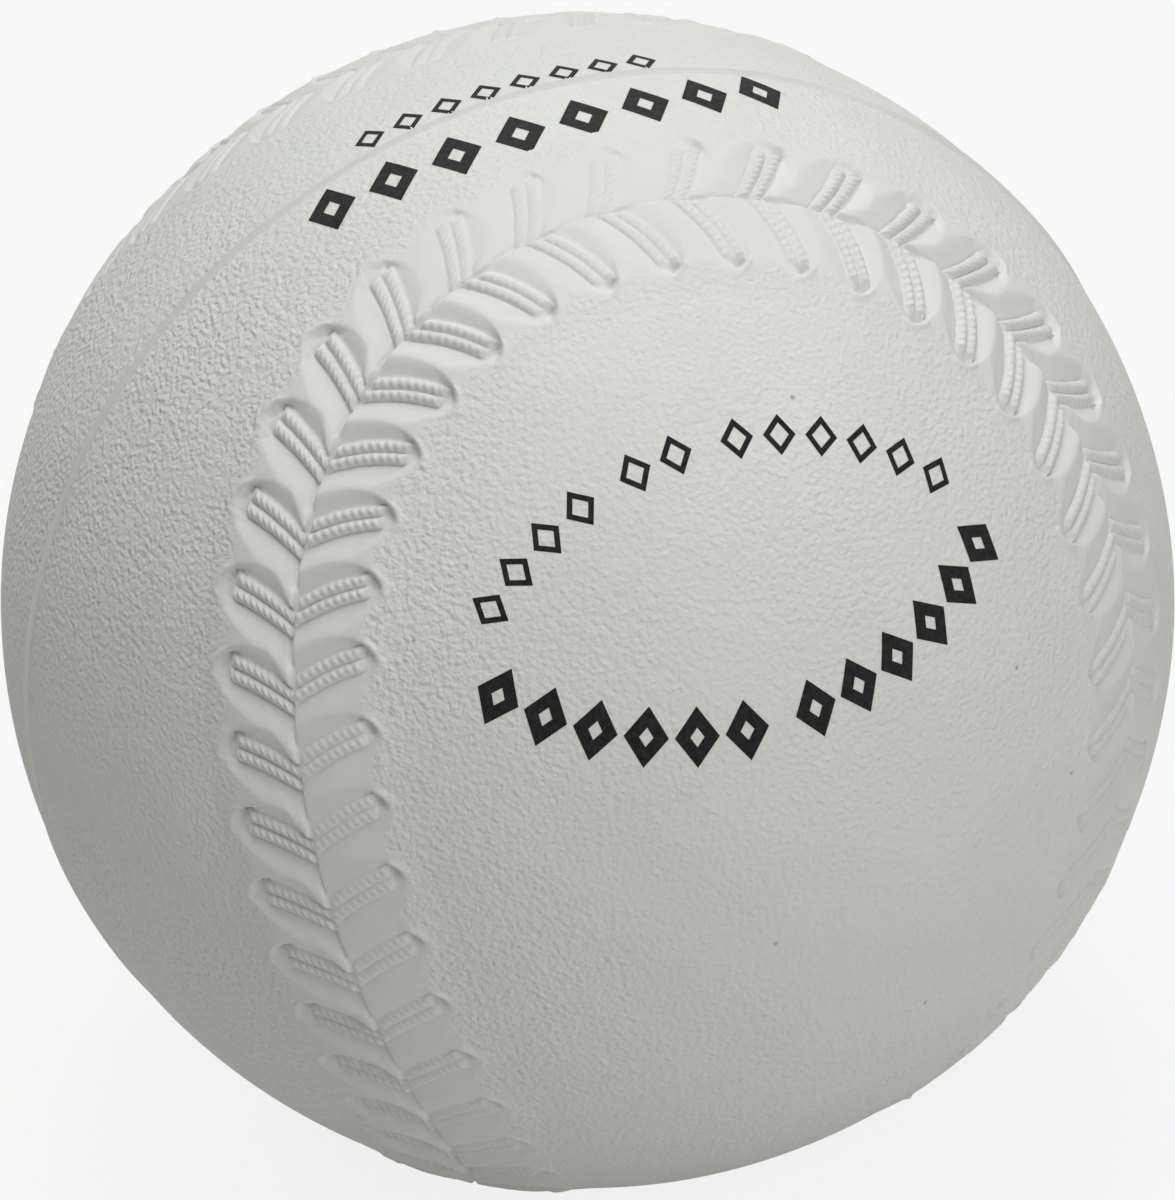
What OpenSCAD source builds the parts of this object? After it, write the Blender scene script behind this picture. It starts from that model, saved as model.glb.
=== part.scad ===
// Moulded rubber softball, 12 inch size: two rubber half shells with a raised
// seam pattern, a wound yarn layer and a sponge rubber centre.
// Millimetres, +Z up, origin at the centre of the ball. The parting plane of
// the mould is y = 0, and the front shell is the one at -Y.

/* [Ball] */
// Circumference round the plain panels
ball_circumference = 304.8; // [280:0.1:407]
// Thickness of the rubber cover
cover_thickness = 4; // [3:0.1:6]
// Thickness of the wound yarn layer under the cover
winding_thickness = 2.5; // [1.5:0.1:5]

/* [Parting line] */
// Height of the flash that stands up along the parting line
flash_height = 0.15; // [0.05:0.01:0.3]
// Width of that flash at its foot, across both shells
flash_width = 0.8; // [0.4:0.1:1.6]

/* [Seam] */
// Distance between the two runs of seam across a panel's waist
seam_waist = 34; // [30:0.5:40]
// How far the seam's bends are pushed away from the waists, negative is rounder
seam_fullness = -0.165; // [-0.25:0.005:0]
// Moulded stitches along the whole seam
stitch_count = 88; // [80:1:96]
// Place of the first stitch after the parting line, in stitches
stitch_phase = 0.6; // [0:0.05:1]

/* [Stitches] */
// Angle between a stitch's right arm and the seam's direction
right_arm_angle = 64; // [56:1:72]
// Angle between its left arm and the seam's direction
left_arm_angle = 66.8; // [58:0.1:74]
// How far the right arm's foot lies ahead of the left arm's, along the seam
right_arm_lead = 1.05; // [0:0.05:1.6]
// Length of a stitch's two cords from the seam to their outer end
cord_length = 6.8; // [5:0.1:7.5]
// Diameter of a cord
cord_diameter = 0.9; // [0.7:0.05:1.1]
// Distance between the two cords of an arm, centre to centre
cord_spacing = 1.1; // [0.9:0.05:1.4]
// Depth of a cord's centre under the ball's surface
cord_depth = 0.45; // [0.3:0.05:0.6]
// Length of a stitch's pocket from the seam to its outer end
pocket_length = 8.2; // [7.6:0.1:9]
// Depth of the pocket under the ball's surface
pocket_depth = 0.65; // [0.5:0.05:0.9]
// Radius of the pocket's hollow across the arm
pocket_radius = 4; // [3:0.1:5]

/* [Hidden] */
ball_radius = ball_circumference / (2 * PI);
winding_radius = ball_radius - cover_thickness;
center_radius = winding_radius - winding_thickness;
half_space = 2 * ball_radius;
// Cords start this far from the seam's middle line, and pockets run past it
cord_start = 0.35;
pocket_overrun = 0.5;
// The pocket's hollow lies a little ahead of its cords
pocket_lead = 0.35;

// The seam: a closed curve on the unit sphere with two shape numbers.
// waist_x comes from the waist's width, and the curve then follows.
waist_sine = seam_waist / (2 * ball_radius);
waist_fill = 1 + seam_fullness;
waist_x = waist_sine * waist_fill
    / sqrt(1 - pow(waist_sine, 2) + pow(waist_sine * waist_fill, 2));
bend = (1 - waist_x) / 2;
rise = sqrt(1 - pow(waist_x, 2));

function unit(v) = v / norm(v);
function seam_direction(s) = unit([
    (1 - bend) * cos(s) - bend * cos(3 * s),
    (1 - bend) * sin(s) + bend * sin(3 * s),
    -rise * cos(2 * s) * (1 + seam_fullness * pow(cos(2 * s), 2))
]);

// Angle s for a length along the seam, by a table of summed chords
seam_steps = 720;
function seam_step(i) = 360 * i / seam_steps;
function chord(i) = norm(seam_direction(seam_step(i + 1)) - seam_direction(seam_step(i)));
lengths = [for (i = 0, l = 0; i <= seam_steps; l = l + chord(i), i = i + 1) [l, seam_step(i)]];
seam_length = lengths[seam_steps][0];
function stitch_angle(i) = 180 + lookup(
    seam_length * ((i + stitch_phase) / stitch_count), lengths);

// Stitches that reach a shell, and those that the parting plane cuts
function stitch_y(i) = ball_radius * seam_direction(stitch_angle(i))[1];
function stitches_on(side) = [for (i = [0:stitch_count - 1])
    if (side * stitch_y(i) > -pocket_length) i];
function is_cut(i) = abs(stitch_y(i)) < pocket_length;

$fn = 96;

// Puts its children on the seam: x to the side, y along the seam, z outwards
module at_stitch(i) {
    s = stitch_angle(i);
    z = seam_direction(s);
    y = unit(seam_direction(s + 0.1) - seam_direction(s - 0.1));
    x = cross(y, z);
    multmatrix([
        [x[0], y[0], z[0], ball_radius * z[0]],
        [x[1], y[1], z[1], ball_radius * z[1]],
        [x[2], y[2], z[2], ball_radius * z[2]],
        [0, 0, 0, 1]
    ]) children();
}

// A rod along each arm: it starts at from and ends at to, measured from the
// seam, and lies level with the ball's surface at both ends, height above it
module arm_rods(radius, from, to, height, shift) {
    middle = (from + to) / 2;
    for (arm = [[0, right_arm_angle, right_arm_lead], [1, left_arm_angle, 0]])
        mirror([arm[0], 0, 0])
            translate([0, arm[2], -ball_radius])
                rotate([0, 0, -arm[1]])
                    rotate([-middle / ball_radius * 180 / PI, 0, 0])
                        translate([shift, 0, ball_radius + height])
                            rotate([90, 0, 0])
                                cylinder(r = radius, h = to - from, center = true, $fn = 24);
}

module stitch_pocket() {
    arm_rods(pocket_radius, -pocket_overrun, pocket_length,
        pocket_radius - pocket_depth, -pocket_lead);
}

module stitch_cords() {
    for (shift = [-0.5, 0.5] * cord_spacing)
        arm_rods(cord_diameter / 2, cord_start, cord_length, -cord_depth, shift);
}

// The half of space on one side of the parting plane
module side_of_parting(side) {
    translate([-half_space, side > 0 ? 0 : -half_space, -half_space])
        cube([2 * half_space, half_space, 2 * half_space]);
}

module flash(side) {
    rotate([side > 0 ? -90 : 90, 0, 0])
        rotate_extrude()
            polygon([
                [ball_radius - flash_width, 0],
                [ball_radius + flash_height, 0],
                [ball_radius + flash_height, flash_width / 6],
                [ball_radius - flash_width / 20, flash_width / 2],
                [ball_radius - flash_width, flash_width / 2]
            ]);
}

module plain_shell(side) {
    difference() {
        intersection() {
            sphere(r = ball_radius);
            side_of_parting(side);
        }
        sphere(r = winding_radius);
    }
}

module cover_half(side) {
    difference() {
        union() {
            plain_shell(side);
            flash(side);
        }
        for (i = stitches_on(side))
            at_stitch(i) stitch_pocket();
    }
    for (i = stitches_on(side))
        if (is_cut(i))
            intersection() {
                at_stitch(i) stitch_cords();
                side_of_parting(side);
            }
        else
            at_stitch(i) stitch_cords();
}

module cover_front() {
    color([0.86, 0.86, 0.83]) cover_half(-1);
}

module cover_back() {
    color([0.84, 0.84, 0.81]) cover_half(1);
}

module yarn_winding() {
    color([0.90, 0.87, 0.78])
        difference() {
            sphere(r = winding_radius);
            sphere(r = center_radius);
        }
}

module sponge_center() {
    color([0.45, 0.30, 0.22]) sphere(r = center_radius);
}

cover_front();
cover_back();
yarn_winding();
sponge_center();
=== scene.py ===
"""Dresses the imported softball: both rubber half shells with their moulded seam, four rows of
printed marks, the yarn winding and the sponge centre.

Lengths are millimetres until they go into a mesh. On the seam band, u is a place along the seam,
v is the distance to its right, d is the distance from it on one side, and t is the distance
ahead of an arm's middle line."""

import math

import bpy
import numpy as np
from mathutils import Matrix, Vector
from mathutils.geometry import delaunay_2d_cdt


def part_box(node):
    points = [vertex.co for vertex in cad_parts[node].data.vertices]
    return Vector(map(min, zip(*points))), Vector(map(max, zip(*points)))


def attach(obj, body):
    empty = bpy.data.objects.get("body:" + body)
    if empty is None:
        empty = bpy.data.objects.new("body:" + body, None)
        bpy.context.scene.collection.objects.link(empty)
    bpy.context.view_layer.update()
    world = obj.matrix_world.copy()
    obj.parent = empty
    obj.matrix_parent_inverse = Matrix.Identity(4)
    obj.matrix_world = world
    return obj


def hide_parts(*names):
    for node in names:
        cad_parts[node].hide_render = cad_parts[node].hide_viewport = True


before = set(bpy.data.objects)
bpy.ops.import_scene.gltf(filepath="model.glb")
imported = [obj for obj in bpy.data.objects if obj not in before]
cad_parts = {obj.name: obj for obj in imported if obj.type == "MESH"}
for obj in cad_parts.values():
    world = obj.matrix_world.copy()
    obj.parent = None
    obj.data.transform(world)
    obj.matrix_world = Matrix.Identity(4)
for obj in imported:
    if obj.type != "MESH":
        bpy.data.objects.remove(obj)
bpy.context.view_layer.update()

MM = 0.001

# ---------------------------------------------------------------- sizes shared with the CAD model

COVER_THICKNESS = 4.0
WINDING_RADIUS = (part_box("yarn_winding")[1].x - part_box("yarn_winding")[0].x) / 2 / MM
BALL_RADIUS = WINDING_RADIUS + COVER_THICKNESS
SEAM_WAIST = 34.0
SEAM_FULLNESS = -0.165
STITCH_COUNT = 88
STITCH_PHASE = 0.6

# ---------------------------------------------------------------- the moulded relief

# A run of four places comes in between the first two and goes out between the last two

PANEL_LEVEL = -0.22  # plain panels, over the ball's nominal surface
CREST_LEVEL = 0.28  # pillows between the stitches
FLOOR_LEVEL = -0.42  # pocket floors
CREST_SHOULDER, CREST_FOOT = 3.5, 10.2  # the pillows fall to the panel between these
MIDDLE_BLEND = (-0.24, 0.12)  # where the left arms' ground passes into the right arms'
WIDE_WAVES, NARROW_WAVES = 0.05, 0.03  # heights of the whole surface's unevenness

# Arms
RIGHT_ANGLE, LEFT_ANGLE = math.radians(64), math.radians(66.8)  # from the seam's direction
RIGHT_LEAD = 1.05  # how far the right arm's foot lies ahead of the left arm's
LEAD_SPREAD = 0.5  # the rows of points take up that lead within this distance of the seam
RIGHT_BOW, LEFT_BOW = 0.24, 0.3  # rise of an arm's curve over its chord
ARM_LENGTH = 6.3
ARM_CURVE_END = 1.2  # the curve goes on up to this share of the arm's length
BEHIND_SHARE = 0.35  # share of the pitch that counts as behind an arm

# Cords
CORD_RADIUS = 0.5
CORD_HEIGHT = 0.5  # over the pocket's floor
CORD_ROUNDNESS = 0.65  # power of the cord's section
CORD_OFFSET = 0.53  # half the distance between an arm's two cords
# Start and end of the cord behind and of the cord ahead, along the arm
LEFT_CORDS, RIGHT_CORDS = ((0.2, 6.05), (-0.2, 5.85)), ((-0.1, 6.2), (0.2, 5.95))
CAP_OUT, CAP_IN = 0.15, 0.35  # a cord's end falls from inside its place to outside it
TWIST_SLANT = 0.65  # how far a strand runs on along its cord per millimetre across it
WORN_TWIST = 0.3  # share of the twist that the most worn cord keeps

# Pockets
POCKET_FOOT = 0.97  # edge of the pocket's floor, across the arm
# Outline ahead of the arm and behind it: place of its centre, half width and outer end
AHEAD = (-1.4, 4.2, 7.6)
LEFT_BEHIND, RIGHT_BEHIND = (0.4, 4.0, 7.9), (0.4, 4.6, 8.1)
OUTLINE_POWER = 2.1  # of the outline's superellipse
WALL_WIDTH = 0.45  # of the steepest walls
LEFT_EASE, RIGHT_EASE = 1.3, 1.2  # what the end wall gains in width
LEFT_EASE_RUN = (-1.7, -1.1, 0.2, 0.7)  # over these places across the arm
RIGHT_EASE_RISE = (0, -1.4)  # from ahead of the arm to behind it
TOE_DEPTH, LIP_HEIGHT = 0.8, 0.4  # at a pocket's outer end, as shares of the pocket's depth
TOE_PLACE, TOE_SPREAD = 0.55, 0.38  # inside the outer end
TOE_RISE = (-1, 0.2)  # from behind the arm to over it
LIP_PLACE, LIP_SPREAD = 0.2, 0.3  # outside it
WEB_PLACE, WEB_SPREAD = 1.05, 1.1  # left of the seam, the pillow runs on down towards the V
GROOVE_DEPTH, GROOVE_WIDTH = 0.14, 0.15  # behind each arm's rear cord
GROOVE_GAP = 0.06  # from the edge of the pocket's floor
GROOVE_RUN = (0.2, 0.6, 5.9, 6.4)  # along the arm

# Crease between the foot of each left arm and the next stitch
CREASE_WIDTH, CREASE_DEPTH = 0.24, 0.36
CREASE_SWING = 0.2  # share of its depth that comes and goes along the seam
CREASE_PLACE, CREASE_SHIFT = -0.12, 0.25  # from the seam, and how far it then moves left
CREASE_RUN, CREASE_TURN = (2.5, 3.3, 5.2, 5.8), (4.2, 5.3)  # places past a stitch

# Wear
WORN_DEPTH = 0.22  # of a worn band's middle under its pillows' crests
WORN_MIDDLE = (7.6, 4.5)  # that middle comes in between these distances from the seam
# Worn places: stitch at the middle, stitches to either side, and how much of the relief is gone
LEFT_WEAR = ((20.4, 2.3, 0.72), (35, 6, 0.55), (68, 6, 0.55))
RIGHT_WEAR = ((9, 4.5, 0.6), (21.7, 2.6, 0.6), (35, 6, 0.5), (68, 6, 0.55))
WEAR_FULL, WEAR_END = 0.6, 1.3  # shares of a worn place's reach where wear is full and ends
# Outer corners of right pockets stay fresh: distance from the seam, and place across the arm
CORNER_REACH, CORNER_SIDE = (5.6, 6.6, 7.6, 8.4), (-0.6, 0.4, 1.6, 2.4)

# Parting line
FLASH_HEIGHT, FLASH_WIDTH = 0.3, 0.34  # width to one side
FLASH_ROUNDNESS = 0.8  # power of its section
FLASH_SWING = 0.3  # share of its height that comes and goes along it
FLASH_GROOVE, FLASH_GROOVE_WIDTH = 0.12, 0.2  # dip on each side of the flash

# Grain
GRAIN_EDGE, GRAIN_WAVE = 6.95, 0.7  # distance from the seam where it starts, and its swing
GRAIN_LEAD = 0.3  # how far behind an arm's middle line it starts furthest out
GRAIN_FADE = 0.9  # to either side of its edge
GRAIN_PARTING = (0.2, 0.7)  # it fades in between these distances from the parting line

# ---------------------------------------------------------------- mesh density

BAND_HALF_WIDTH = 9.2  # seam band, from the seam's middle line to the plain panel's own mesh
# Runs of columns of points on half a band: start, end and count
COLUMN_RUNS = ((0, 0.8, 8), (0.8, 5.6, 17), (5.6, 8.0, 15), (8.0, BAND_HALF_WIDTH, 5))
CORD_ROWS, SLOPE_ROWS = 26, 18  # rows of points over an arm and between two arms
CORD_ROWS_REACH = 1.32  # from the arm's middle line, along the seam
PANEL_RINGS = ((0.2, 2), (0.5, 4))  # round a band: distance from it, and every how many rows
PANEL_GAP = 0.8  # from the band to the panel's even points
PANEL_SPACING = 0.5
PARTING_SPACING = 0.35
PARTING_GAP = 0.3  # from the parting line's rows to the even points
PARTING_STEPS = (0.0, 0.16, 0.34, 0.6)  # rows of points beside the parting line, on both sides
INNER_RINGS = 10  # rings of faces in the hollow inside a half
SEAM_STEPS = 7200  # of the table of lengths along the seam
DISTANCE_STEP = 0.75  # between the places on the seam that distances are measured from
DISTANCE_BATCH = 20000  # directions measured at a time
DELAUNAY_INSIDE, DELAUNAY_TOLERANCE = 1, 1e-9  # triangles inside the ring only

# ---------------------------------------------------------------- directions


def heading(azimuth, elevation):
    """Direction at an azimuth from the ball's front and an elevation, in degrees."""
    turn, lift = math.radians(azimuth), math.radians(elevation)
    return math.sin(turn) * math.cos(lift), -math.cos(turn) * math.cos(lift), math.sin(lift)


def unit(vectors):
    """The same directions with length 1."""
    return vectors / np.linalg.norm(vectors, axis=-1, keepdims=True)


# ---------------------------------------------------------------- the seam's curve

WAIST_SINE = SEAM_WAIST / (2 * BALL_RADIUS)
WAIST_FILL = 1 + SEAM_FULLNESS
WAIST_X = WAIST_SINE * WAIST_FILL / math.sqrt(
    1 - WAIST_SINE**2 + (WAIST_SINE * WAIST_FILL) ** 2
)
SEAM_BEND = (1 - WAIST_X) / 2
SEAM_RISE = math.sqrt(1 - WAIST_X**2)


def seam_direction(s):
    """Points of the seam on the unit sphere, for its angles s."""
    lift = SEAM_RISE * (1 + SEAM_FULLNESS * np.cos(2 * s) ** 2)
    return unit(
        np.stack(
            [
                (1 - SEAM_BEND) * np.cos(s) - SEAM_BEND * np.cos(3 * s),
                (1 - SEAM_BEND) * np.sin(s) + SEAM_BEND * np.sin(3 * s),
                -lift * np.cos(2 * s),
            ],
            axis=-1,
        )
    )


SEAM_ANGLES = np.linspace(math.pi, 3 * math.pi, SEAM_STEPS + 1)
SEAM_LENGTHS = BALL_RADIUS * np.concatenate(
    [[0], np.cumsum(np.linalg.norm(np.diff(seam_direction(SEAM_ANGLES), axis=0), axis=1))]
)
SEAM_LENGTH = SEAM_LENGTHS[-1]
PITCH = SEAM_LENGTH / STITCH_COUNT


def seam_frame(u):
    """Outward and right-hand directions of the seam at the lengths u along it."""
    s = np.interp(u % SEAM_LENGTH, SEAM_LENGTHS, SEAM_ANGLES)
    out = seam_direction(s)
    ahead = unit(seam_direction(s + 0.002) - seam_direction(s - 0.002))
    return out, np.cross(ahead, out)


def beside_seam(u, v):
    """Direction of the point v to the right of the seam's point u, along a great circle."""
    out, right = seam_frame(u)
    angle = (v / BALL_RADIUS)[..., None]
    return np.cos(angle) * out + np.sin(angle) * right


def lean(v):
    """How far forward a row of the band has moved at v, so that rows follow the arms."""
    straight = np.where(v < 0, -v / math.tan(LEFT_ANGLE), v / math.tan(RIGHT_ANGLE))
    return straight + RIGHT_LEAD * smooth(-LEAD_SPREAD, LEAD_SPREAD, v)


# ---------------------------------------------------------------- heights


def smooth(start, end, x):
    """Rise from 0 to 1 with level ends."""
    q = np.clip((x - start) / (end - start), 0, 1)
    return q * q * (3 - 2 * q)


def ramp(start, end, x):
    """Straight slope from 0 to 1 whose ends are slightly rounded."""
    return 0.5 * np.clip((x - start) / (end - start), 0, 1) + 0.5 * smooth(start, end, x)


def crest_level(d):
    """Height of the band between its pockets, and of the panels beyond it."""
    return PANEL_LEVEL + (CREST_LEVEL - PANEL_LEVEL) * smooth(CREST_FOOT, CREST_SHOULDER, d)


def hump(x, place, width):
    """Round hump, 1 high at its place."""
    return np.exp(-(((x - place) / width) ** 2))


def plateau(run, x):
    """Rise from 0 to 1 and fall again, by a run of four places."""
    start, full, fall, end = run
    return smooth(start, full, x) * smooth(end, fall, x)


def oval(x):
    """Superellipse: the share of one half axis that is left at the share x of the other."""
    return (1 - np.clip(x, 0, 0.999) ** OUTLINE_POWER) ** (1 / OUTLINE_POWER)


class Side:
    """The arms on one side of the seam."""

    def __init__(self, is_left, angle, lead, bow, behind, cords, wear):
        self.is_left, self.angle, self.lead, self.bow = is_left, angle, lead, bow
        self.behind, self.cords, self.worn = behind, cords, wear
        self.span = PITCH * math.sin(angle)

    def across(self, u, d):
        """Distance ahead of the nearest arm's middle line."""
        share = np.clip(d / ARM_LENGTH, 0, ARM_CURVE_END)
        turns = (u - d / math.tan(self.angle) - self.lead) / PITCH - STITCH_PHASE
        straight = ((turns + BEHIND_SHARE) % 1 - BEHIND_SHARE) * self.span
        return straight - self.bow * 4 * share * (1 - share)

    def left_over(self, u):
        """Share of the relief that wear has left, along the seam."""
        share = np.ones_like(u)
        half = STITCH_COUNT / 2
        for middle, reach, gone in self.worn:
            away = (u / PITCH - STITCH_PHASE - middle + half) % STITCH_COUNT - half
            share = share - gone * smooth(WEAR_END * reach, WEAR_FULL * reach, np.abs(away))
        return share

    def hollow(self, t, d):
        """How much of its depth one pocket has, t across the arm and d out from the seam."""
        place, width, reach = AHEAD
        crest = place + width * oval(d / reach)
        if self.is_left:
            crest = np.minimum(crest, WEB_PLACE + np.maximum(d, 0) / WEB_SPREAD)
        crest = np.maximum(crest, POCKET_FOOT + WALL_WIDTH)
        front = ramp(POCKET_FOOT, crest, t)
        end = reach * oval((t - place) / width)
        place, width, reach = self.behind
        edge = np.maximum(crest - self.span, place - width * oval(d / reach))
        edge = np.minimum(edge, -POCKET_FOOT - WALL_WIDTH)
        back = ramp(-POCKET_FOOT, edge, t)
        end = np.minimum(end, reach * oval((place - t) / width))
        wall = self.end_wall(t)
        toe = TOE_DEPTH * hump(d - end, -TOE_PLACE, TOE_SPREAD) * smooth(*TOE_RISE, t)
        lip = LIP_HEIGHT * hump(d - end, LIP_PLACE, LIP_SPREAD)
        inside = 1 - smooth(end - wall, end, d) + toe - lip
        return (1 - front) * (1 - back) * inside

    def end_wall(self, t):
        """Width of the pocket's end wall."""
        if self.is_left:
            return WALL_WIDTH + LEFT_EASE * plateau(LEFT_EASE_RUN, t)
        return WALL_WIDTH + RIGHT_EASE * smooth(*RIGHT_EASE_RISE, t)

    def ground(self, t, d):
        """Height without cords, t across the arm and d out from the seam."""
        hollow = sum(self.hollow(t + k * self.span, d) for k in (-1, 0, 1))
        level = crest_level(d)
        groove = GROOVE_DEPTH * hump(t + POCKET_FOOT, -GROOVE_GAP, GROOVE_WIDTH)
        groove = groove * plateau(GROOVE_RUN, d)
        return level - (level - FLOOR_LEVEL) * hollow - groove

    def cord(self, t, d):
        """Section of the arm's two cords, 1 along their tops."""
        section = np.zeros(np.broadcast(t, d).shape)
        for offset, (start, end) in zip((-CORD_OFFSET, CORD_OFFSET), self.cords):
            across = np.clip(1 - ((t - offset) / CORD_RADIUS) ** 2, 0, 1) ** CORD_ROUNDNESS
            run = (start - CAP_OUT, start + CAP_IN, end - CAP_IN, end + CAP_OUT)
            section = np.maximum(section, across * plateau(run, d))
        return section

    def strand(self, t, d):
        """Place along the arm, with the slant of a cord's strands in it."""
        return d / math.sin(self.angle) + TWIST_SLANT * (-t if self.is_left else t)

    def grain_edge(self, t):
        """Distance from the seam where the panel's grain starts, in a wave from arm to arm."""
        return GRAIN_EDGE + GRAIN_WAVE * np.cos(2 * math.pi * (t + GRAIN_LEAD) / self.span)


LEFT = Side(True, LEFT_ANGLE, 0.0, LEFT_BOW, LEFT_BEHIND, LEFT_CORDS, LEFT_WEAR)
RIGHT = Side(False, RIGHT_ANGLE, RIGHT_LEAD, RIGHT_BOW, RIGHT_BEHIND, RIGHT_CORDS, RIGHT_WEAR)


def crease(u, v):
    """Depth of the crease that runs down from each left arm's rear cord."""
    past = (u / PITCH - STITCH_PHASE) % 1 * PITCH
    place = CREASE_PLACE - CREASE_SHIFT * smooth(*CREASE_TURN, past)
    depth = CREASE_DEPTH * (1 - CREASE_SWING + CREASE_SWING * np.sin(u * 0.21 + 1))
    return depth * hump(v, place, CREASE_WIDTH) * plateau(CREASE_RUN, past)


def band_relief(u, v):
    """Height of the seam band over the nominal surface, and what the material reads there."""
    left, right = LEFT.across(u, -v), RIGHT.across(u, v)
    share = smooth(*MIDDLE_BLEND, v)
    height = LEFT.ground(left, -v) * (1 - share) + RIGHT.ground(right, v) * share
    height = height - crease(u, v)
    left_cord, right_cord = LEFT.cord(left, -v), RIGHT.cord(right, v)
    cord = np.maximum(left_cord, right_cord)
    height = np.where(cord > 0, np.maximum(height, FLOOR_LEVEL + CORD_HEIGHT * cord), height)
    right_fresh = RIGHT.left_over(u)
    corner = plateau(CORNER_REACH, v) * plateau(CORNER_SIDE, right)
    right_fresh = right_fresh + (1 - right_fresh) * corner
    fresh = LEFT.left_over(u) * (1 - share) + right_fresh * share
    plain = crest_level(np.abs(v)) - WORN_DEPTH * smooth(*WORN_MIDDLE, np.abs(v))
    height = plain + (height - plain) * fresh
    pick = np.where(cord > 0, right_cord > left_cord, v > sum(MIDDLE_BLEND) / 2)
    strand = np.where(pick, RIGHT.strand(right, v), LEFT.strand(left, -v))
    edge = np.where(v > 0, RIGHT.grain_edge(right), LEFT.grain_edge(left))
    grain = smooth(edge - GRAIN_FADE, edge + GRAIN_FADE, np.abs(v))
    twist = cord * (WORN_TWIST + (1 - WORN_TWIST) * fresh)
    return height, grain, strand, twist


def unevenness(p):
    """Slow waves of a moulded and handled surface, for directions p."""
    x, y, z = p[..., 0], p[..., 1], p[..., 2]
    wide = np.sin(5.1 * x + 2.3 * z + 0.4) * np.sin(4.3 * y - 3.1 * z + 1.1)
    narrow = np.sin(9.7 * z + 3.3 * x + 2.0) * np.sin(8.9 * x - 6.1 * y + 0.3)
    return WIDE_WAVES * wide + NARROW_WAVES * narrow


def flash_ridge(p):
    """The thin raised line where the two halves of the mould met, with a dip on each side."""
    y = np.abs(p[..., 1]) * BALL_RADIUS
    uneven = 1 + FLASH_SWING * np.sin(14 * p[..., 0] + 1) * np.sin(11 * p[..., 2] + 2)
    ridge = FLASH_HEIGHT * uneven * np.clip(1 - y / FLASH_WIDTH, 0, 1) ** FLASH_ROUNDNESS
    return ridge - FLASH_GROOVE * hump(y, FLASH_WIDTH, FLASH_GROOVE_WIDTH)


def surface_waves(p):
    """What the whole surface has on top of its relief, for directions p."""
    return unevenness(p) + flash_ridge(p)


# ---------------------------------------------------------------- the whole skin as arrays


def band_columns():
    """Places of the band's columns across the seam: dense at the crease and the pockets' ends."""
    runs = [np.linspace(a, b, n, endpoint=b == BAND_HALF_WIDTH) for a, b, n in COLUMN_RUNS]
    right = np.concatenate(runs)
    return np.concatenate([-right[:0:-1], right])


def row_places():
    """Places of the band's rows along the seam: dense over the arms."""
    reach = CORD_ROWS_REACH
    over = np.linspace(-reach, reach, CORD_ROWS, endpoint=False)
    between = np.linspace(reach, PITCH - reach, SLOPE_ROWS, endpoint=False)
    stitches = PITCH * (STITCH_PHASE + np.arange(STITCH_COUNT))
    return (stitches[:, None] + np.concatenate([over, between])).ravel()


ROW_PLACES = row_places()
ROWS = len(ROW_PLACES)


def band_mesh():
    """Directions, heights, material values and quads of the seam band."""
    columns = band_columns()
    row, v = np.meshgrid(ROW_PLACES, columns, indexing="ij")
    u = row + lean(v)
    height, *values = band_relief(u, v)
    directions = beside_seam(u, v)
    row, column = np.meshgrid(np.arange(ROWS), np.arange(len(columns) - 1), indexing="ij")
    here, there = row * len(columns) + column, (row + 1) % ROWS * len(columns) + column
    quads = np.stack([here, here + 1, there + 1, there], axis=-1).reshape(-1, 4)
    values = np.stack(values, axis=-1)
    return directions.reshape(-1, 3), height.ravel(), values.reshape(-1, 3), quads, len(columns)


def seam_distance(p):
    """Signed distance of directions p from the seam, positive to its right."""
    u = np.arange(0, SEAM_LENGTH, DISTANCE_STEP)
    out, right = seam_frame(u)
    signed = np.empty(len(p))
    for start in range(0, len(p), DISTANCE_BATCH):
        part = slice(start, start + DISTANCE_BATCH)
        dots = p[part] @ out.T
        near = dots.argmax(axis=1)
        gap = np.arccos(np.clip(dots.max(axis=1), -1, 1)) * BALL_RADIUS
        signed[part] = gap * np.sign(np.einsum("ij,ij->i", p[part], right[near]))
    return signed


def even_directions(spacing):
    """Directions spread evenly over the sphere, by the golden angle."""
    count = int(4 * math.pi * BALL_RADIUS**2 / (spacing**2 * math.sqrt(3) / 2))
    k = np.arange(count) + 0.5
    z = 1 - 2 * k / count
    turn = k * math.pi * (3 - math.sqrt(5))
    flat = np.sqrt(1 - z * z)
    return np.stack([flat * np.cos(turn), flat * np.sin(turn), z], axis=-1)


def parting_directions(spacing):
    """Rows of directions along the parting line and close beside it, in step with each other."""
    count = int(2 * math.pi * BALL_RADIUS / spacing)
    turn = np.arange(count) * 2 * math.pi / count
    rows = []
    for gap in sorted({s * g for g in PARTING_STEPS for s in (-1, 1)}):
        y = gap / BALL_RADIUS
        flat = math.sqrt(1 - y * y)
        row = [flat * np.cos(turn), np.full(count, y), flat * np.sin(turn)]
        rows.append(np.stack(row, axis=-1))
    return np.concatenate(rows)


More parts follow.
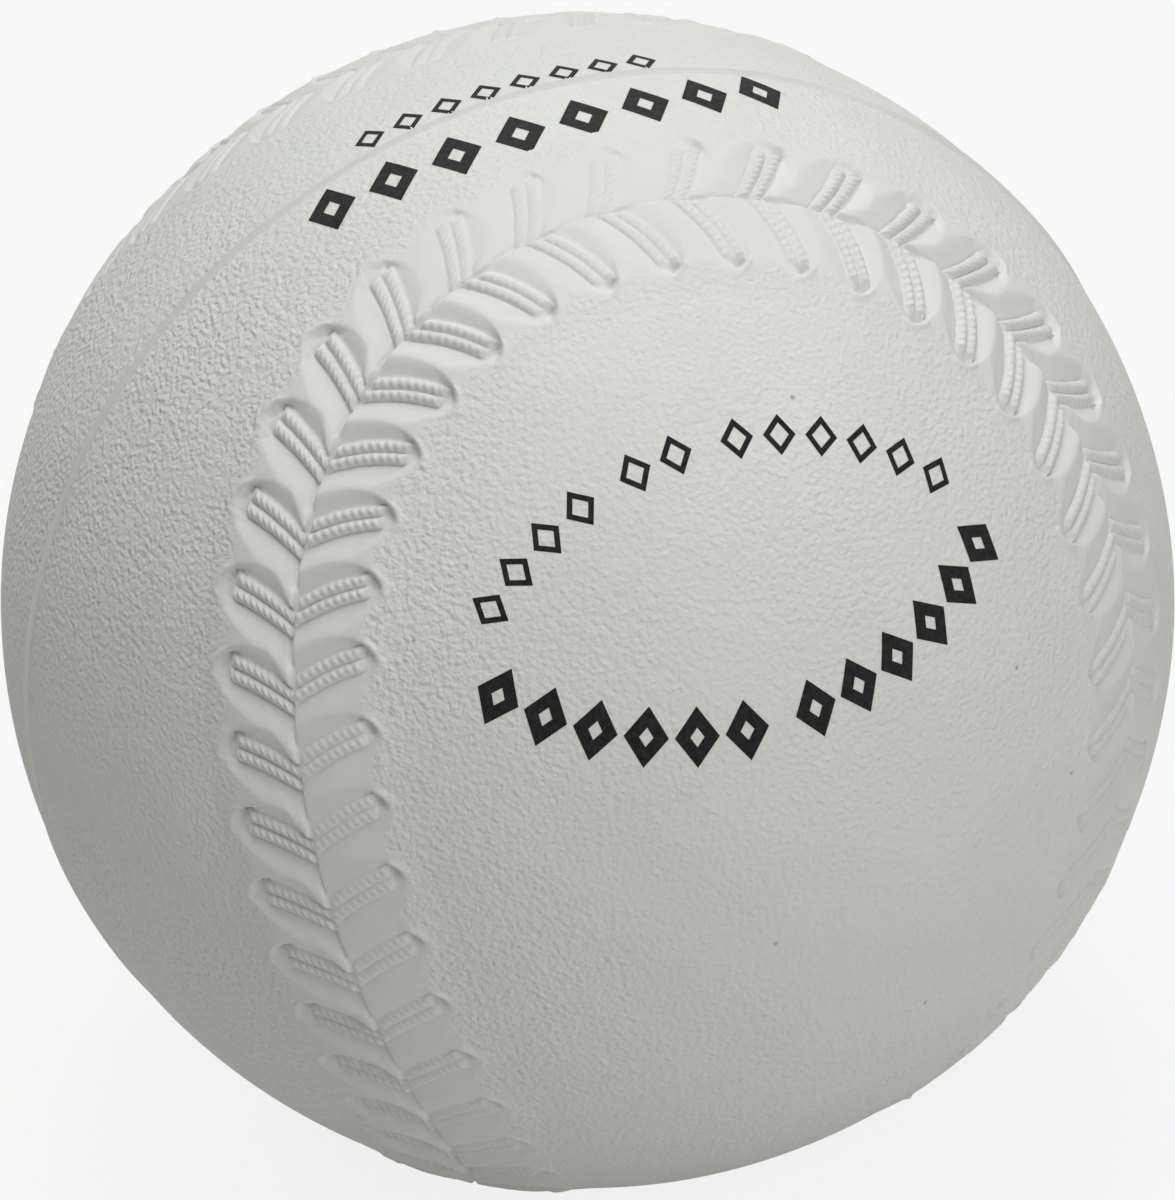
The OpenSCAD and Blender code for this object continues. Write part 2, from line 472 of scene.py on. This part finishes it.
def panel_mesh(side, ring, loose, loose_distance):
    """A plain panel inside one ring of the band: its new directions and its triangles.

    The triangles count the ring first and the new directions after it."""
    points = [ring]
    for step, every in PANEL_RINGS:
        places = ROW_PLACES[::every]
        v = np.full(len(places), side * (BAND_HALF_WIDTH + step))
        points.append(beside_seam(places + lean(v), v))
    points.append(loose[side * loose_distance > BAND_HALF_WIDTH + PANEL_GAP])
    points = np.concatenate(points)
    # Seen from the pole that the panel leaves out, triangles with empty circles stay so
    flat = points[:, :2] / (1 - side * points[:, 2:])
    outline = [list(range(len(ring)))]
    _, _, faces, sources, _, _ = delaunay_2d_cdt(
        [Vector(p) for p in flat], [], outline, DELAUNAY_INSIDE, DELAUNAY_TOLERANCE, True
    )
    source = np.array([s[0] for s in sources])
    faces = source[np.array(faces)]
    # Chords between places of the ring alone aren't part of the panel
    return points[len(ring) :], faces[(faces >= len(ring)).any(axis=1)]


def skin_arrays():
    """The ball's whole outer surface: directions, height and material values, and faces."""
    directions, height, values, quads, columns = band_mesh()
    even = even_directions(PANEL_SPACING)
    even = even[np.abs(even[:, 1]) * BALL_RADIUS > PARTING_STEPS[-1] + PARTING_GAP]
    loose = np.concatenate([even, parting_directions(PARTING_SPACING)])
    loose_distance = seam_distance(loose)
    all_directions, triangles = [directions], []
    count = len(directions)
    for side in (1, -1):
        ring = np.arange(ROWS) * columns + (columns - 1 if side > 0 else 0)
        added, faces = panel_mesh(side, directions[ring], loose, loose_distance)
        where = np.concatenate([ring, count + np.arange(len(added))])
        triangles.append(where[faces])
        all_directions.append(added)
        count += len(added)
    directions = np.concatenate(all_directions)
    panels = np.tile([0, 1.0, 0, 0], (count - len(height), 1))
    panels[:, 0] = crest_level(np.abs(seam_distance(directions[len(height) :])))
    data = np.concatenate([np.column_stack([height, values]), panels])
    # No grain on the parting line
    data[:, 1] *= smooth(*GRAIN_PARTING, np.abs(directions[:, 1]) * BALL_RADIUS)
    triangles = facing_out(directions, np.concatenate(triangles))
    return directions, data, facing_out(directions, quads), triangles


def facing_out(points, faces):
    """The same faces, turned so that they face away from the ball's centre."""
    a, b, c = (points[faces[:, k]] for k in range(3))
    inward = np.einsum("ij,ij->i", np.cross(b - a, c - a), a) < 0
    faces = faces.copy()
    faces[inward] = faces[inward][:, ::-1]
    return faces


# ---------------------------------------------------------------- the two halves

ON_PLANE = 1e-6  # a direction this close to the parting plane is put on it
# Map of a half: radii of the outside's disc, the rim's two edges and the hollow's disc
MAP_OUTSIDE, MAP_RIM, MAP_HOLLOW = 0.47, (0.478, 0.492), 0.07
MAP_MIDDLE, MAP_CORNER = 0.5, 0.915  # centres of the outside's disc and of the hollow's

def split_skin(directions, data, *face_arrays):
    """Both halves' faces, cut at the parting plane, with the corners that this adds."""
    directions = directions.copy()
    directions[np.abs(directions[:, 1]) < ON_PLANE, 1] = 0
    y = directions[:, 1]
    halves = {-1: [], 1: []}
    made, added_directions, added_data = {}, [], []

    def corner(a, b):
        key = (min(a, b), max(a, b))
        if key not in made:
            share = y[a] / (y[a] - y[b])
            made[key] = len(directions) + len(added_directions)
            point = directions[a] * (1 - share) + directions[b] * share
            point[1] = 0
            added_directions.append(unit(point))
            added_data.append(data[a] * (1 - share) + data[b] * share)
        return made[key]

    for faces in face_arrays:
        high, low = y[faces].max(axis=1), y[faces].min(axis=1)
        halves[1].append(faces[low >= 0])
        halves[-1].append(faces[high <= 0])
        for face in faces[(low < 0) & (high > 0)]:
            for side, parts in halves.items():
                polygon = []
                for a, b in zip(face, np.roll(face, -1)):
                    if side * y[a] >= 0:
                        polygon.append(a)
                    if y[a] * y[b] < 0:
                        polygon.append(corner(a, b))
                if len(polygon) > 2:
                    parts.append(np.array([polygon]))
    directions = np.concatenate([directions, added_directions])
    return directions, np.concatenate([data, added_data]), halves


def close_half(points, faces, side):
    """Points and faces of the flat rim and of the hollow inside, so that the half is a solid."""
    edge = np.flatnonzero(points[:, 1] == 0)
    edge = edge[np.argsort(np.arctan2(points[edge, 2], points[edge, 0]))]
    flat = unit(points[edge])
    axis = np.array([0, side, 0])
    count, rings, added = len(edge), [edge], []
    for k in range(INNER_RINGS):
        tilt = math.pi / 2 * k / INNER_RINGS
        rings.append(len(points) + k * count + np.arange(count))
        added.append(WINDING_RADIUS * (math.cos(tilt) * flat + math.sin(tilt) * axis))
    added.append([WINDING_RADIUS * axis])
    pole = np.full(count, len(points) + INNER_RINGS * count)
    for near, far in zip(rings, rings[1:]):
        quads = np.stack([near, np.roll(near, -1), np.roll(far, -1), far], axis=-1)
        faces.append(quads[:, ::side])
    faces.append(np.stack([rings[-1], np.roll(rings[-1], -1), pole], axis=-1)[:, ::side])
    return np.concatenate([points, *added])


def cover_half(name, directions, data, faces, side):
    """One rubber half shell: its part of the skin, closed by a rim and a hollow inside."""
    used = np.unique(np.concatenate([f.ravel() for f in faces]))
    place = np.zeros(len(directions), int)
    place[used] = np.arange(len(used))
    faces = [place[f] for f in faces if len(f)]
    directions, data = directions[used], data[used]
    radius = BALL_RADIUS + data[:, 0] + surface_waves(directions)
    points = close_half(directions * radius[:, None], faces, side)
    values = np.zeros((len(points), 3))
    values[: len(data)] = data[:, 1:]
    mesh = mesh_from(name, points, faces)
    for layer_name, column in zip(("grain", "strand", "cord"), values.T):
        layer = mesh.attributes.new(layer_name, "FLOAT", "POINT")
        layer.data.foreach_set("value", column.astype(np.float32))
    sharpen_parting(mesh, points)
    lay_map(mesh, points, side)
    return new_object(name, mesh)


def sharpen_parting(mesh, points):
    """Makes the edges in the parting plane sharp."""
    ends = np.empty(len(mesh.edges) * 2, np.int32)
    mesh.edges.foreach_get("vertices", ends)
    sharp = (points[ends.reshape(-1, 2), 1] == 0).all(axis=1)
    layer = mesh.attributes.new("sharp_edge", "BOOLEAN", "EDGE")
    layer.data.foreach_set("value", sharp)


def mesh_from(name, points, faces):
    """A smooth mesh from points in millimetres and arrays of faces."""
    loops = np.concatenate([f.ravel() for f in faces])
    sizes = np.concatenate([np.full(len(f), f.shape[1]) for f in faces])
    mesh = bpy.data.meshes.new(name)
    mesh.vertices.add(len(points))
    mesh.vertices.foreach_set("co", (points * MM).ravel().astype(np.float32))
    mesh.loops.add(len(loops))
    mesh.loops.foreach_set("vertex_index", loops.astype(np.int32))
    mesh.polygons.add(len(sizes))
    mesh.polygons.foreach_set("loop_start", (np.cumsum(sizes) - sizes).astype(np.int32))
    mesh.polygons.foreach_set("use_smooth", np.ones(len(sizes), bool))
    mesh.update(calc_edges=True)
    return mesh


def new_object(name, mesh):
    """An object of this mesh, in the scene."""
    piece = bpy.data.objects.new(name, mesh)
    bpy.context.scene.collection.objects.link(piece)
    return piece


def lay_map(mesh, points, side):
    """A map for baking: the outside as one disc, the rim round it and the hollow in a corner."""
    loops = np.empty(len(mesh.loops), np.int32)
    mesh.loops.foreach_get("vertex_index", loops)
    sizes = np.empty(len(mesh.polygons), np.int32)
    mesh.polygons.foreach_get("loop_total", sizes)
    radius = np.linalg.norm(points, axis=1)
    outside = radius > WINDING_RADIUS + COVER_THICKNESS / 2
    share = np.add.reduceat(outside[loops].astype(float), np.cumsum(sizes) - sizes) / sizes
    share = np.repeat(share, sizes)
    p, r = points[loops], radius[loops]
    angle = np.arccos(np.clip(side * p[:, 1] / r, -1, 1)) / (math.pi / 2)
    flat = p[:, [0, 2]] * [side, 1]
    flat = flat / np.maximum(np.linalg.norm(flat, axis=1, keepdims=True), 1e-9)
    skin = MAP_MIDDLE + MAP_OUTSIDE * angle[:, None] * flat
    rim = MAP_MIDDLE + np.take(MAP_RIM, outside[loops].astype(int))[:, None] * flat
    hollow = MAP_CORNER + MAP_HOLLOW * angle[:, None] * flat
    uv = np.where((share > 0)[:, None], rim, hollow)
    uv = np.where((share == 1)[:, None], skin, uv)
    layer = mesh.uv_layers.new(name="OFBake", do_init=False)
    layer.data.foreach_set("uv", uv.astype(np.float32).ravel())


# ---------------------------------------------------------------- the printed marks

PRINT_LIFT = 0.02  # over the panel
PRINT_STEP = 0.35  # longest side of the marks' quads
PRINT_GAP = 0.45  # between two groups, in marks
# Each row lies on a circle of the ball: azimuth and elevation of the circle's axis, its radius
# along the surface, the first and the last mark's turn round the axis, the number of marks in
# each group, then a mark's width, height and stroke. Angles are in degrees.
PRINT_ROWS = {
    "front_marks_thin": ((0.3, 10.6), 27.9, (139.7, 47.6), (4, 2, 6), (2.75, 3.4, 0.45)),
    "front_marks_bold": ((-3.4, 51.8), 29.8, (-131, -35.8), (6, 6), (3.6, 5.0, 1.0)),
    "top_marks_thin": ((-179.3, 17.0), 60.1, (70.9, 100.4), (8,), (2.7, 3.1, 0.45)),
    "top_marks_bold": ((-177.6, 32.9), 54.0, (61.8, 112), (8,), (4.3, 5.5, 1.1)),
}


def turned(axis, radius, turn):
    """Point of a circle on the ball, and the directions along it and away from its axis."""
    pole = np.array(heading(*axis))
    level = unit(np.cross([0, 0, 1], pole))
    rise = np.cross(pole, level)
    spin = math.radians(turn)
    outward = math.cos(spin) * level + math.sin(spin) * rise
    tilt = radius / BALL_RADIUS
    point = math.cos(tilt) * pole + math.sin(tilt) * outward
    away = math.cos(tilt) * outward - math.sin(tilt) * pole
    return point, np.cross(outward, pole), away


def lozenge(width, height, stroke):
    """Flat points and quads of an open lozenge."""
    side = math.hypot(width, height) / 2
    inner = 1 - 4 * stroke * side / (width * height)
    across = max(2, round(stroke / PRINT_STEP) + 1)
    along = round(side / PRINT_STEP) + 1
    corners = np.array([[width / 2, 0], [0, height / 2], [-width / 2, 0], [0, -height / 2]])
    share = np.arange(along)[:, None] / along
    ends = zip(corners, np.roll(corners, -1, 0))
    edge = np.concatenate([a * (1 - share) + b * share for a, b in ends])
    points = np.concatenate([edge * k for k in np.linspace(inner, 1, across)])
    k, i = np.meshgrid(np.arange(across - 1), np.arange(len(edge)), indexing="ij")
    here, there = k * len(edge) + i, k * len(edge) + (i + 1) % len(edge)
    quads = np.stack([here, here + len(edge), there + len(edge), there], axis=-1)
    return points, quads.reshape(-1, 4)


def print_row(name):
    """One row of printed marks, as a thin skin of ink that follows the panel."""
    axis, radius, (first, last), groups, (width, height, stroke) = PRINT_ROWS[name]
    places = np.arange(sum(groups)) + PRINT_GAP * np.repeat(np.arange(len(groups)), groups)
    points, faces, count = [], [], 0
    flat, quads = lozenge(width, height, stroke)
    for place in places / places[-1]:
        centre, along, away = turned(axis, radius, first + (last - first) * place)
        direction = unit(centre * BALL_RADIUS + flat[:, :1] * along + flat[:, 1:] * away)
        level = BALL_RADIUS + PANEL_LEVEL + PRINT_LIFT + surface_waves(direction)
        points.append(direction * level[:, None])
        faces.append(quads + count)
        count += len(flat)
    points = np.concatenate(points)
    faces = facing_out(points, np.concatenate(faces))
    return new_object(name, mesh_from(name, points, [faces]))


# ---------------------------------------------------------------- materials


class Nodes:
    """Short calls for building one material's nodes."""

    def __init__(self, name):
        self.material = bpy.data.materials.new(name)
        self.material.use_nodes = True
        self.tree = self.material.node_tree
        self.surface = self.tree.nodes["Principled BSDF"]

    def add(self, kind, inputs=None, **settings):
        """A new node, with its inputs and its settings."""
        node = self.tree.nodes.new(kind)
        for key, value in settings.items():
            setattr(node, key, value)
        for key, value in (inputs or {}).items():
            self.put(node.inputs[key], value)
        return node

    def put(self, socket, value):
        """A link into the socket, or a value on it."""
        if isinstance(value, bpy.types.NodeSocket):
            self.tree.links.new(value, socket)
        else:
            socket.default_value = value

    def set(self, **inputs):
        """Inputs of the surface, with _ for each space in a name."""
        for key, value in inputs.items():
            self.put(self.surface.inputs[key.replace("_", " ")], value)

    def math(self, operation, a, b=0.0):
        """One sum of two numbers, or of the first alone."""
        node = self.add("ShaderNodeMath", {0: a, 1: b}, operation=operation)
        return node.outputs[0]

    def attribute(self, name):
        """A number that the mesh holds at its points."""
        return self.add("ShaderNodeAttribute", attribute_name=name).outputs["Fac"]

    def places(self):
        """Object coordinates in millimetres."""
        coordinates = self.add("ShaderNodeTexCoord").outputs["Object"]
        inputs = {0: coordinates, 3: 1 / MM}
        return self.add("ShaderNodeVectorMath", inputs, operation="SCALE").outputs[0]

    def noise(self, scale, detail=2.0, roughness=0.5):
        """Soft noise, with so many swings in a millimetre."""
        inputs = {"Vector": self.places(), "Scale": scale, "Detail": detail}
        inputs["Roughness"] = roughness
        return self.add("ShaderNodeTexNoise", inputs).outputs["Fac"]

    def cells(self, scale, smoothness=0.0):
        """Distance from the middle of the nearest cell, smoothed from cell to cell or not."""
        inputs = {"Vector": self.places(), "Scale": scale}
        feature = "F1"
        if smoothness:
            inputs["Smoothness"] = smoothness
            feature = "SMOOTH_F1"
        return self.add("ShaderNodeTexVoronoi", inputs, feature=feature).outputs["Distance"]

    def shape(self, value, low, high, start, end):
        """Smooth rise from start to end while the value goes from low to high."""
        node = self.add("ShaderNodeMapRange", {"Value": value}, interpolation_type="SMOOTHSTEP")
        limits = {"From Min": low, "From Max": high, "To Min": start, "To Max": end}
        for key, limit in limits.items():
            node.inputs[key].default_value = limit
        return node.outputs[0]

    def ramp(self, value, *stops):
        """Colour ramp from (place, colour) pairs, where a number stands for a grey."""
        node = self.add("ShaderNodeValToRGB", {"Fac": value})
        elements = node.color_ramp.elements
        while len(elements) < len(stops):
            elements.new(0.5)
        for element, (place, color) in zip(elements, stops):
            element.position = place
            grey = isinstance(color, (int, float))
            element.color = (color, color, color, 1) if grey else (*color, 1)
        return node.outputs["Color"]

    def product(self, a, b):
        """Two colours multiplied."""
        node = self.add("ShaderNodeMix", data_type="RGBA", blend_type="MULTIPLY")
        sockets = [s for s in node.inputs if s.enabled]
        for socket, value in zip(sockets, (1.0, a, b)):
            self.put(socket, value)
        return next(s for s in node.outputs if s.enabled)

    def bump(self, height, millimetres, normal=None):
        """Bump whose height 0 to 1 stands for so many millimetres."""
        inputs = {"Height": height, "Distance": millimetres * MM, "Strength": 1.0}
        node = self.add("ShaderNodeBump", inputs)
        if normal:
            self.put(node.inputs["Normal"], normal)
        return node.outputs["Normal"]


RUBBER = (0.715, 0.722, 0.680)
DULL, BRIGHT = 0.97, 1.02  # the rubber's slow unevenness in colour
SPECK_EDGE = (0.012, 0.03)  # rim of the faint specks, in cells
SPECK_GREY = 0.6
GRAIN_BUMP, TWIST_BUMP, SKIN_BUMP = 0.135, 0.048, 0.012  # how high each is
TWIST_PITCH = 0.72  # between a cord's strands, along it
# The grain's strength, by x and in patches by a slow noise: low, high and the strength at each
GRAIN_SIDES, GRAIN_PATCHES = (-38, -8, 1.3, 0.75), (0.35, 0.65, 0.8, 1.15)


def pebble_grain(n):
    """Moulded leather grain: small soft pebbles, stronger on the side that is handled less."""
    pebbles = n.math("MULTIPLY", n.noise(2.0, 1.0), 1.5)
    pits = n.math("MULTIPLY", n.cells(1.9, 0.4), -0.7)
    height = n.math("SUBTRACT", n.math("ADD", pebbles, pits), 0.4)
    x = n.add("ShaderNodeSeparateXYZ", {0: n.places()}).outputs[0]
    by_side = n.shape(x, *GRAIN_SIDES)
    by_patch = n.shape(n.noise(0.06), *GRAIN_PATCHES)
    return n.math("MULTIPLY", height, n.math("MULTIPLY", by_side, by_patch))


def rubber_normal(n):
    """Bumps of the grain, of the cords' twist and of a fine skin everywhere."""
    grain = n.math("MULTIPLY", pebble_grain(n), n.attribute("grain"))
    turns = n.math("MULTIPLY", n.attribute("strand"), 2 * math.pi / TWIST_PITCH)
    twist = n.math("MULTIPLY", n.math("SINE", turns), n.attribute("cord"))
    normal = n.bump(twist, TWIST_BUMP, n.bump(grain, GRAIN_BUMP))
    return n.bump(n.noise(6.0, 3.0, 0.6), SKIN_BUMP, normal)


def rubber_material():
    """Off-white rubber, a little uneven in colour and gloss, with faint specks."""
    n = Nodes("moulded_rubber")
    dull, bright = (tuple(c * share for c in RUBBER) for share in (DULL, BRIGHT))
    tint = n.ramp(n.noise(0.05, 3.0, 0.6), (0.3, dull), (0.7, bright))
    middle, rim = SPECK_EDGE
    specks = n.ramp(n.cells(0.11), (middle, SPECK_GREY), (rim, 1.0))
    rough = n.math("ADD", n.math("MULTIPLY", n.noise(0.3, 3.0), 0.12), 0.6)
    n.set(Base_Color=n.product(tint, specks), Roughness=rough)
    n.set(Normal=rubber_normal(n), Specular_IOR_Level=0.15)
    return n.material


def ink_material():
    """Black ink, a little thin and broken where the grain stands under it."""
    n = Nodes("black_ink")
    patches = n.noise(2.2, 3.0, 0.6)
    n.set(Base_Color=n.ramp(patches, (0.35, 0.004), (0.75, 0.022)), Roughness=0.6)
    n.set(Specular_IOR_Level=0.12, Normal=n.bump(n.noise(2.6, 2.0), 0.03))
    return n.material


def yarn_material():
    """Undyed yarn in wavering bands."""
    n = Nodes("wound_yarn")
    inputs = {"Vector": n.places(), "Scale": 0.35, "Distortion": 3.0, "Detail": 2.0}
    strands = n.add("ShaderNodeTexWave", inputs).outputs["Fac"]
    color = n.ramp(strands, (0.0, (0.52, 0.47, 0.36)), (1.0, (0.78, 0.73, 0.60)))
    n.set(Base_Color=color, Roughness=0.85, Normal=n.bump(strands, 0.3))
    return n.material


def sponge_material():
    """Brown sponge rubber with pores."""
    n = Nodes("sponge_rubber")
    pores = n.cells(0.9, 0.6)
    color = n.ramp(pores, (0.1, (0.10, 0.055, 0.035)), (0.6, (0.24, 0.14, 0.09)))
    n.set(Base_Color=color, Roughness=0.9, Normal=n.bump(pores, 0.5))
    return n.material


def dress_node(name, material):
    """Gives a CAD node this material."""
    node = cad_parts[name]
    node.data.materials.clear()
    node.data.materials.append(material)


# ---------------------------------------------------------------- floor, light and camera

FLOOR_WHITE = 0.85  # how much of the floor that the camera sees is plain white
FLOOR_HALF = 3.0  # half its side, in metres


def floor_material():
    """Pale floor that keeps a soft shadow and looks nearly white to the camera."""
    n = Nodes("studio_floor")
    n.set(Base_Color=(0.62, 0.62, 0.61, 1), Roughness=0.9)
    path = n.add("ShaderNodeLightPath").outputs
    seen = n.math("MAXIMUM", path["Is Camera Ray"], path["Is Glossy Ray"])
    white = n.add("ShaderNodeEmission").outputs["Emission"]
    inputs = {0: n.math("MULTIPLY", seen, FLOOR_WHITE), 1: n.surface.outputs[0], 2: white}
    mixed = n.add("ShaderNodeMixShader", inputs).outputs[0]
    n.put(n.tree.nodes["Material Output"].inputs["Surface"], mixed)
    return n.material


def make_floor():
    """A square floor, as far under the ball's middle as its pillows reach."""
    mesh = bpy.data.meshes.new("floor")
    signs, z = ((-1, -1), (1, -1), (1, 1), (-1, 1)), -(BALL_RADIUS + CREST_LEVEL) * MM
    corners = [(x * FLOOR_HALF, y * FLOOR_HALF, z) for x, y in signs]
    mesh.from_pydata(corners, [], [(0, 1, 2, 3)])
    floor = new_object("floor", mesh)
    mesh.materials.append(floor_material())


CAMERA_AZIMUTH, CAMERA_ELEVATION, CAMERA_ROLL = -17.85, 30.5, -3.83  # degrees
CAMERA_DISTANCE = 0.9  # metres
CAMERA_CLIP = (0.01, 20)  # metres
CAMERA_LENS = 327.4  # millimetres, for the 36 mm side of the sensor
CAMERA_SHIFT = 2.3 / 1200  # the ball stands a little low in the photograph's frame


def camera_axes():
    """Right, up and towards-the-camera directions."""
    towards = Vector(heading(CAMERA_AZIMUTH, CAMERA_ELEVATION))
    level = Vector(heading(CAMERA_AZIMUTH + 90, 0))
    up = towards.cross(level)
    roll = math.radians(CAMERA_ROLL)
    right = math.cos(roll) * level + math.sin(roll) * up
    return right, towards.cross(right), towards


def make_camera():
    """The camera of the main view."""
    right, up, towards = camera_axes()
    data = bpy.data.cameras.new("camera")
    data.lens, data.shift_y = CAMERA_LENS, CAMERA_SHIFT
    data.clip_start, data.clip_end = CAMERA_CLIP
    camera = bpy.data.objects.new("camera", data)
    bpy.context.scene.collection.objects.link(camera)
    turn = Matrix((right, up, towards)).transposed().to_4x4()
    camera.matrix_world = Matrix.Translation(towards * CAMERA_DISTANCE) @ turn
    bpy.context.scene.camera = camera


LIGHT_DISTANCE, LIGHT_SIZE = 1.3, 1.0  # metres
# Azimuth to the right of the camera's and elevation, in degrees, then watts
SOFT_BOXES = {
    "overhead": (0, 90, 8.5),
    "behind": (180, 55, 6.5),
    "far_left": (-120, 55, 1.0),
    "front": (0, 55, 3.4),
    "low_front": (0, 20, 1.5),
    "right": (55, 17, 4.9),
}
WORLD_LIGHT = 0.01


def soft_box(name, azimuth, elevation, power):
    """A square area light that faces the ball."""
    data = bpy.data.lights.new(name, "AREA")
    data.shape, data.size, data.energy = "SQUARE", LIGHT_SIZE, power
    light = bpy.data.objects.new(name, data)
    bpy.context.scene.collection.objects.link(light)
    away = Vector(heading(CAMERA_AZIMUTH + azimuth, elevation))
    aim = away.to_track_quat("Z", "Y").to_matrix().to_4x4()
    light.matrix_world = Matrix.Translation(away * LIGHT_DISTANCE) @ aim


def make_world():
    """Dim even light, where the camera and reflections see white."""
    world = bpy.data.worlds.new("studio")
    bpy.context.scene.world = world
    world.use_nodes = True
    nodes, links = world.node_tree.nodes, world.node_tree.links
    path = nodes.new("ShaderNodeLightPath")
    seen = nodes.new("ShaderNodeMath")
    seen.operation = "MAXIMUM"
    links.new(path.outputs["Is Camera Ray"], seen.inputs[0])
    links.new(path.outputs["Is Glossy Ray"], seen.inputs[1])
    strength = nodes.new("ShaderNodeMapRange")
    strength.inputs["To Min"].default_value = WORLD_LIGHT
    strength.inputs["To Max"].default_value = 1.0
    links.new(seen.outputs[0], strength.inputs["Value"])
    background = nodes["Background"]
    background.inputs["Color"].default_value = (1, 1, 1, 1)
    links.new(strength.outputs[0], background.inputs["Strength"])


def make_light():
    """World, soft boxes and the plain view transform."""
    make_world()
    for name, (azimuth, elevation, power) in SOFT_BOXES.items():
        soft_box(name, azimuth, elevation, power)
    bpy.context.scene.view_settings.view_transform = "Standard"


# ---------------------------------------------------------------- assembly


def main():
    """The whole dressed part on its floor, lit and seen from the photograph's side."""
    make_camera()
    make_light()
    make_floor()
    rubber = rubber_material()
    directions, data, halves = split_skin(*skin_arrays())
    for node, side in (("cover_front", -1), ("cover_back", 1)):
        half = cover_half(node + "_moulded", directions, data, halves[side], side)
        half.data.materials.append(rubber)
        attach(half, "root")
        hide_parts(node)
    ink = ink_material()
    for name in PRINT_ROWS:
        marks = print_row(name)
        marks.data.materials.append(ink)
        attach(marks, "root")
    dress_node("yarn_winding", yarn_material())
    dress_node("sponge_center", sponge_material())


main()
